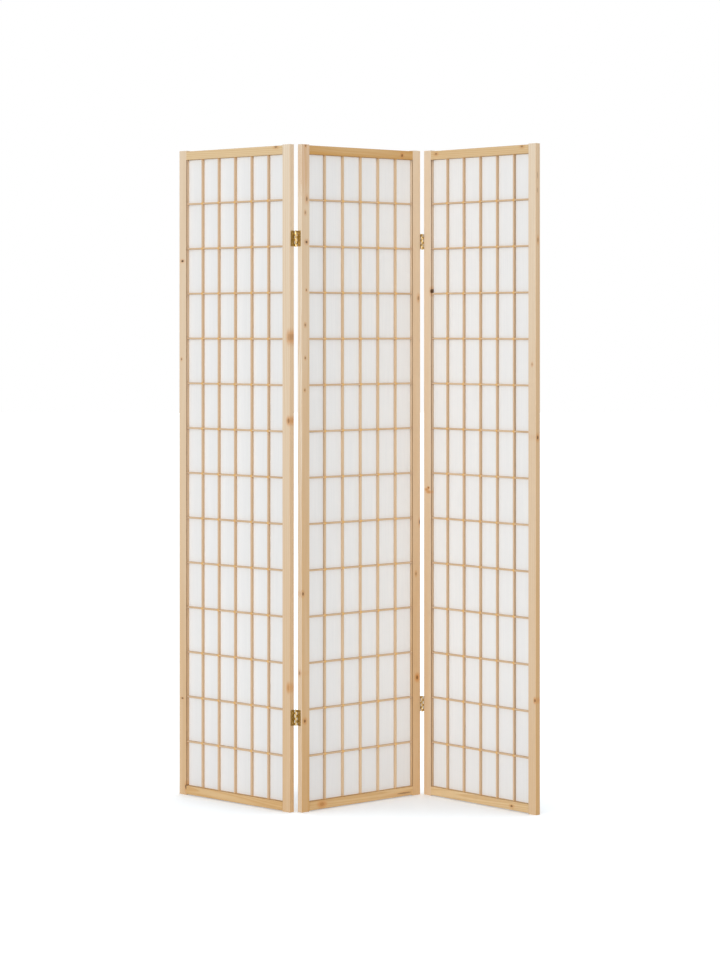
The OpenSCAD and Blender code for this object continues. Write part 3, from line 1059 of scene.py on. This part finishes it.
def rolled_leaf(hinge, panel, leaf, first):
    """A leaf: cut from sheet, its knuckles rolled round the pin, its corners round, its holes sunk."""
    brass = bpy.context.scene.screen_brass
    node = f"{hinge}_hinge_{leaf}"
    axes = hinge_axes(hinge, panel, leaf)
    low, high = own_box(node, axes)
    thickness = brass.leaf_thickness
    roll = high.x - thickness / 2
    reach = -low.y
    height = high.z - low.z
    piece = primitive(
        node + "_rolled", bpy.ops.mesh.primitive_plane_add, (height, reach, 1), size=1,
        location=(roll, -reach / 2, 0), rotation=(0, QUARTER_TURN, 0))
    pitch = height / brass.knuckles
    tabs = [
        (low.z + i * pitch + brass.knuckle_gap / 2, low.z + (i + 1) * pitch - brass.knuckle_gap / 2)
        for i in range(first, brass.knuckles, 2)]
    root = -(high.x + brass.knuckle_room)
    cuts = [((0, 0, z), (0, 0, 1)) for tab in tabs for z in tab] + [((0, root, 0), (0, 1, 0))]

    def between_tabs(face):
        middle = face.calc_center_median()
        return middle.y > root and not any(a < middle.z < b for a, b in tabs)

    def at_pin(edge):
        return min(vertex.co.y for vertex in edge.verts) > -NEARLY

    def free_corner(vertex):
        return vertex.co.y < SAME_POINT - reach and abs(vertex.co.z) > height / 2 - NEARLY

    with editing(piece):
        for place, normal in cuts:
            bpy.ops.mesh.select_all(action="SELECT")
            bpy.ops.mesh.bisect(plane_co=place, plane_no=normal)
        pick(piece, "faces", between_tabs)
        bpy.ops.mesh.delete(type="FACE")
        pick(piece, "edges", at_pin)
        bpy.ops.mesh.spin(steps=22, angle=brass.curl, center=(0, 0, 0), axis=(0, 0, 1))
        pick(piece, "verts", free_corner)
        bpy.ops.mesh.bevel(offset=brass.corner, segments=5, affect="VERTICES")
    apply_modifier(piece, "SOLIDIFY", thickness=thickness, offset=0)
    turn_outward(piece)
    holes = [
        primitive(
            "countersink", bpy.ops.mesh.primitive_cone_add, vertices=32, radius1=COUNTERSINK,
            radius2=SCREW_HOLE, depth=thickness + 2 * NEARLY, location=(roll, place.y, place.z),
            rotation=(0, QUARTER_TURN, 0))
        for place in screw_places(panel, axes)]
    carve(piece, joined(holes))
    ease_edges(piece, brass.edge, 2, 50)
    # Painted on the knuckles: rubbed brass and a painted highlight
    mark_faces(piece, "worn", lambda middle, normal: KNUCKLE_RUB_AND_HIGHLIGHT[leaf] if middle.y > root else 0.0)
    smooth(piece)
    put_in_place(piece, piece.name, axes, brass_material("leaf"), node)


def turned_pin(hinge):
    """A pin with a low domed head at each end."""
    brass = bpy.context.scene.screen_brass
    node = f"{hinge}_hinge_pin"
    axes = panel_axes("middle")
    low, high = own_box(node, axes)
    head_radius = (high.x - low.x) / 2
    pin = primitive(
        node + "_turned", bpy.ops.mesh.primitive_cylinder_add, vertices=32,
        radius=brass.pin_diameter / 2, depth=high.z - low.z - 2 * PIN_HEAD)
    with editing(pin):
        for up in (1, -1):
            pick(pin, "faces", lambda face: (
                face.normal.z * up > 0.9 and face.calc_center_median().z * up > 0))
            extrude_up(0)
            widen(2 * head_radius / brass.pin_diameter)
            radius = head_radius
            for step in range(1, PIN_HEAD_STEPS + 1):
                extrude_up(up * PIN_HEAD / PIN_HEAD_STEPS)
                new_radius = head_radius * math.sqrt(1 - (DOME * step / PIN_HEAD_STEPS) ** 2)
                widen(new_radius / radius)
                radius = new_radius
    turn_outward(pin)
    smooth(pin, 50)
    in_hinge = axes @ Matrix.Translation((low + high) / 2)
    put_in_place(pin, pin.name, in_hinge, brass_material("pin"), node)


def cut_screw(head_radius, total):
    """One countersunk screw along +Z, the top of its head at the origin, with a cross recess."""
    brass = bpy.context.scene.screen_brass
    head = brass.leaf_thickness
    shank = SHANK_SHARE * head_radius
    tip = 2 * shank
    rim, dish, dish_depth = 0.15 * MM, 0.8 * MM, 0.12 * MM
    arm, recess_depth = 0.3 * MM, 0.75 * MM
    tip_share, recess_share = 0.15, 0.6
    screw = primitive(
        "screw", bpy.ops.mesh.primitive_cone_add, vertices=32, radius1=shank, radius2=head_radius,
        depth=head, location=(0, 0, -head / 2))
    with editing(screw):
        pick(screw, "faces", lambda face: face.normal.z > 0.9)
        bpy.ops.mesh.inset(thickness=rim)
        bpy.ops.mesh.inset(thickness=dish, depth=dish_depth)
        pick(screw, "faces", lambda face: face.normal.z < -0.9)
        extrude_up(-(total - head - tip))
        extrude_up(-tip)
        widen(tip_share)
    half = brass.recess / 2
    for across, along in ((half, arm), (arm, half)):
        slot = block("recess", Vector((-across, -along, -recess_depth)), Vector((across, along, MM)))
        with editing(slot):
            pick(slot, "faces", lambda face: face.normal.z < -0.9)
            widen(recess_share)
        carve(screw, slot)
    ease_edges(screw, 0.05 * MM, 1, 50)
    return screw


def driven_screws(panel):
    """All hinge screws of a panel: one is cut, and copies of it are driven in at their own angles."""
    node = f"{panel}_panel_screws"
    axes = panel_axes(panel)
    places = own_boxes(node, axes)
    low, high = places[0]
    model = cut_screw((high.z - low.z) / 2, high.x - low.x)
    draw = random.Random(node)
    screws = []
    for low, high in places:
        side = 1 if low.x > 0 else -1
        middle = (low + high) / 2
        head = Vector((high.x if side > 0 else low.x, middle.y, middle.z))
        stand = Matrix.Translation(head) @ Matrix.Rotation(QUARTER_TURN * side, 4, "Y")
        screws.append(copy_of(model, stand @ Matrix.Rotation(draw.uniform(0, math.tau), 4, "Z")))
    bpy.data.objects.remove(model)
    screws = joined(screws)
    turn_outward(screws)
    smooth(screws, 35)
    put_in_place(screws, node + "_driven", axes, brass_material("screw"), node)


# Operators

# The lights in degrees: to the right of the camera, above the floor and across
LIGHT_SIDES = {"key": -44, "fill": 38, "back": 176}
LIGHT_HEIGHT = 6
LIGHT_SPREAD = 11
FLOOR_SIZE = 60
# The light that the floor adds is a little cool, against the warm light that the wood throws on it
FLOOR_GLOW = (0.84, 0.93, 1, 1)


class SCREEN_OT_stiles(bpy.types.Operator):
    """Plane the six stiles."""
    bl_idname = "screen.plane_stiles"
    bl_label = "Plane the stiles"

    def execute(self, context):
        pine = context.scene.screen_pine
        for panel in PANELS:
            for side in ("left", "right"):
                frame_bar(panel, side + "_stile", Z, "cross_slats", pine.stile_early, pine.stile_late)
        return {"FINISHED"}


class SCREEN_OT_rails(bpy.types.Operator):
    """Plane the six rails."""
    bl_idname = "screen.plane_rails"
    bl_label = "Plane the rails"

    def execute(self, context):
        pine = context.scene.screen_pine
        for panel in PANELS:
            for end in ("top", "bottom"):
                frame_bar(panel, end + "_rail", X, "uprights", pine.rail_early, pine.rail_late)
        return {"FINISHED"}


class SCREEN_OT_lattice(bpy.types.Operator):
    """Plane the slats, lap them and let them into the frame."""
    bl_idname = "screen.lap_lattice"
    bl_label = "Lap the lattice"

    def execute(self, context):
        for panel in PANELS:
            lapped_slats(panel, "uprights", "cross_slats", Z, seed=11.0)
            lapped_slats(panel, "cross_slats", "uprights", X, seed=23.0)
        return {"FINISHED"}


class SCREEN_OT_paper(bpy.types.Operator):
    """Stretch the three sheets of paper."""
    bl_idname = "screen.stretch_paper"
    bl_label = "Stretch the paper"

    def execute(self, context):
        for panel in PANELS:
            stretched_sheet(panel)
        return {"FINISHED"}


class SCREEN_OT_leaves(bpy.types.Operator):
    """Roll the eight leaves of the hinges."""
    bl_idname = "screen.roll_leaves"
    bl_label = "Roll the hinge leaves"

    def execute(self, context):
        for hinge in HINGES:
            rolled_leaf(hinge, hinge.split("_")[0], "outer_leaf", 0)
            rolled_leaf(hinge, "middle", "inner_leaf", 1)
        return {"FINISHED"}


class SCREEN_OT_pins(bpy.types.Operator):
    """Turn the four hinge pins."""
    bl_idname = "screen.turn_pins"
    bl_label = "Turn the hinge pins"

    def execute(self, context):
        for hinge in HINGES:
            turned_pin(hinge)
        return {"FINISHED"}


class SCREEN_OT_screws(bpy.types.Operator):
    """Drive the hinge screws."""
    bl_idname = "screen.drive_screws"
    bl_label = "Drive the screws"

    def execute(self, context):
        for panel in PANELS:
            driven_screws(panel)
        return {"FINISHED"}


class SCREEN_OT_dowels(bpy.types.Operator):
    """Give the dowels inside the frame joints their beech."""
    bl_idname = "screen.finish_dowels"
    bl_label = "Finish the dowels"

    def execute(self, context):
        material = dowel_material()
        for panel in PANELS:
            dowels = frame["nodes"][f"{panel}_panel_dowels"]
            dowels.data.materials.clear()
            dowels.data.materials.append(material)
        return {"FINISHED"}


class SCREEN_OT_stage(bpy.types.Operator):
    """Set up the white floor, the soft light and the camera."""
    bl_idname = "screen.set_stage"
    bl_label = "Set the stage"

    def execute(self, context):
        stage = context.scene.screen_stage
        floor = primitive("floor", bpy.ops.mesh.primitive_plane_add, size=FLOOR_SIZE)
        floor.data.materials.append(floor_material(stage))
        context.scene.world = studio_world(stage)
        for name, side in LIGHT_SIDES.items():
            soft_light(name, getattr(stage, name), side)
        bpy.ops.object.camera_add(location=stage.eye, rotation=(QUARTER_TURN, 0, 0))
        camera = context.object
        camera.data.sensor_fit = "VERTICAL"
        camera.data.sensor_height = 36
        camera.data.lens = stage.lens
        camera.data.shift_y = stage.rise
        camera.data.dof.use_dof = False
        context.scene.camera = camera
        context.scene.view_settings.view_transform = "Standard"
        return {"FINISHED"}


def seen_straight(tree):
    """1 where the camera, a reflection or a glass looks, and 0 for light on the object."""
    rays = add_node(tree, "LightPath").outputs
    mirrored = maths(tree, "MAXIMUM", rays["Is Glossy Ray"], rays["Is Transmission Ray"])
    return maths(tree, "MAXIMUM", rays["Is Camera Ray"], mirrored)


def floor_material(stage):
    """A pale floor that looks white where no shadow falls."""
    material, tree, shader = new_material("white floor", 0.9, 0.0)
    cloud = noise_at(tree, object_place(tree), scale=0.5)
    paint = mixed(tree, times(tree, cloud, 0.05), linear(stage.floor), (1, 1, 1, 1))
    shader.inputs["Emission Color"].default_value = FLOOR_GLOW
    openness = add_node(tree, "AmbientOcclusion", {"Distance": stage.foot_reach}, samples=8).outputs["AO"]
    beside_foot = 0.5
    lift = add_node(tree, "MapRange", {
        0: openness, 1: beside_foot, 3: stage.foot_lift, 4: stage.floor_lift}).outputs[0]
    feed(tree, shader.inputs, {
        "Base Color": paint, "Emission Strength": times(tree, seen_straight(tree), lift)})
    return material


def studio_world(stage):
    """Even light from all round, white to the camera."""
    world = bpy.data.worlds.new("studio")
    world.use_nodes = True
    tree = world.node_tree
    background = tree.nodes["Background"]
    background.inputs["Color"].default_value = (1, 1, 1, 1)
    lit = add_node(tree, "MapRange", {0: seen_straight(tree), 3: stage.ambient, 4: 1.0}).outputs[0]
    tree.links.new(lit, background.inputs["Strength"])
    return world


def soft_light(name, strength, side):
    """A broad even light from so many degrees to the right of the camera, low above the floor."""
    turn = (math.radians(90 - LIGHT_HEIGHT), 0, math.radians(side))
    bpy.ops.object.light_add(type="SUN", rotation=turn)
    light = bpy.context.object
    light.name = light.data.name = name
    light.data.energy = strength
    light.data.angle = math.radians(LIGHT_SPREAD)


class SCREEN_PT_pieces(bpy.types.Panel):
    """The steps that make the folding screen, in order."""
    bl_label = "Folding screen"
    bl_idname = "SCREEN_PT_pieces"
    bl_space_type = "VIEW_3D"
    bl_region_type = "UI"
    bl_category = "Folding screen"

    def draw(self, context):
        for settings in SETTINGS:
            box = self.layout.box()
            group = getattr(context.scene, settings)
            for prop in group.bl_rna.properties:
                if prop.identifier not in ("rna_type", "name"):
                    box.prop(group, prop.identifier)
        for operator in OPERATORS:
            self.layout.operator(operator.bl_idname)


OPERATORS = (
    SCREEN_OT_stiles, SCREEN_OT_rails, SCREEN_OT_lattice, SCREEN_OT_paper, SCREEN_OT_leaves, SCREEN_OT_pins,
    SCREEN_OT_screws, SCREEN_OT_dowels, SCREEN_OT_stage)


def register():
    """Register the settings, the operators and the panel."""
    for name, settings in SETTINGS.items():
        bpy.utils.register_class(settings)
        setattr(bpy.types.Scene, name, PointerProperty(type=settings))
    for operator in OPERATORS:
        bpy.utils.register_class(operator)
    bpy.utils.register_class(SCREEN_PT_pieces)


def unregister():
    """Take them all away again."""
    bpy.utils.unregister_class(SCREEN_PT_pieces)
    for operator in reversed(OPERATORS):
        bpy.utils.unregister_class(operator)
    for name, settings in SETTINGS.items():
        delattr(bpy.types.Scene, name)
        bpy.utils.unregister_class(settings)


def main():
    """Make every piece in turn."""
    register()
    bpy.ops.screen.plane_stiles()
    bpy.ops.screen.plane_rails()
    bpy.ops.screen.lap_lattice()
    bpy.ops.screen.stretch_paper()
    bpy.ops.screen.roll_leaves()
    bpy.ops.screen.turn_pins()
    bpy.ops.screen.drive_screws()
    bpy.ops.screen.finish_dowels()
    bpy.ops.screen.set_stage()


if __name__ == "__main__":
    main()
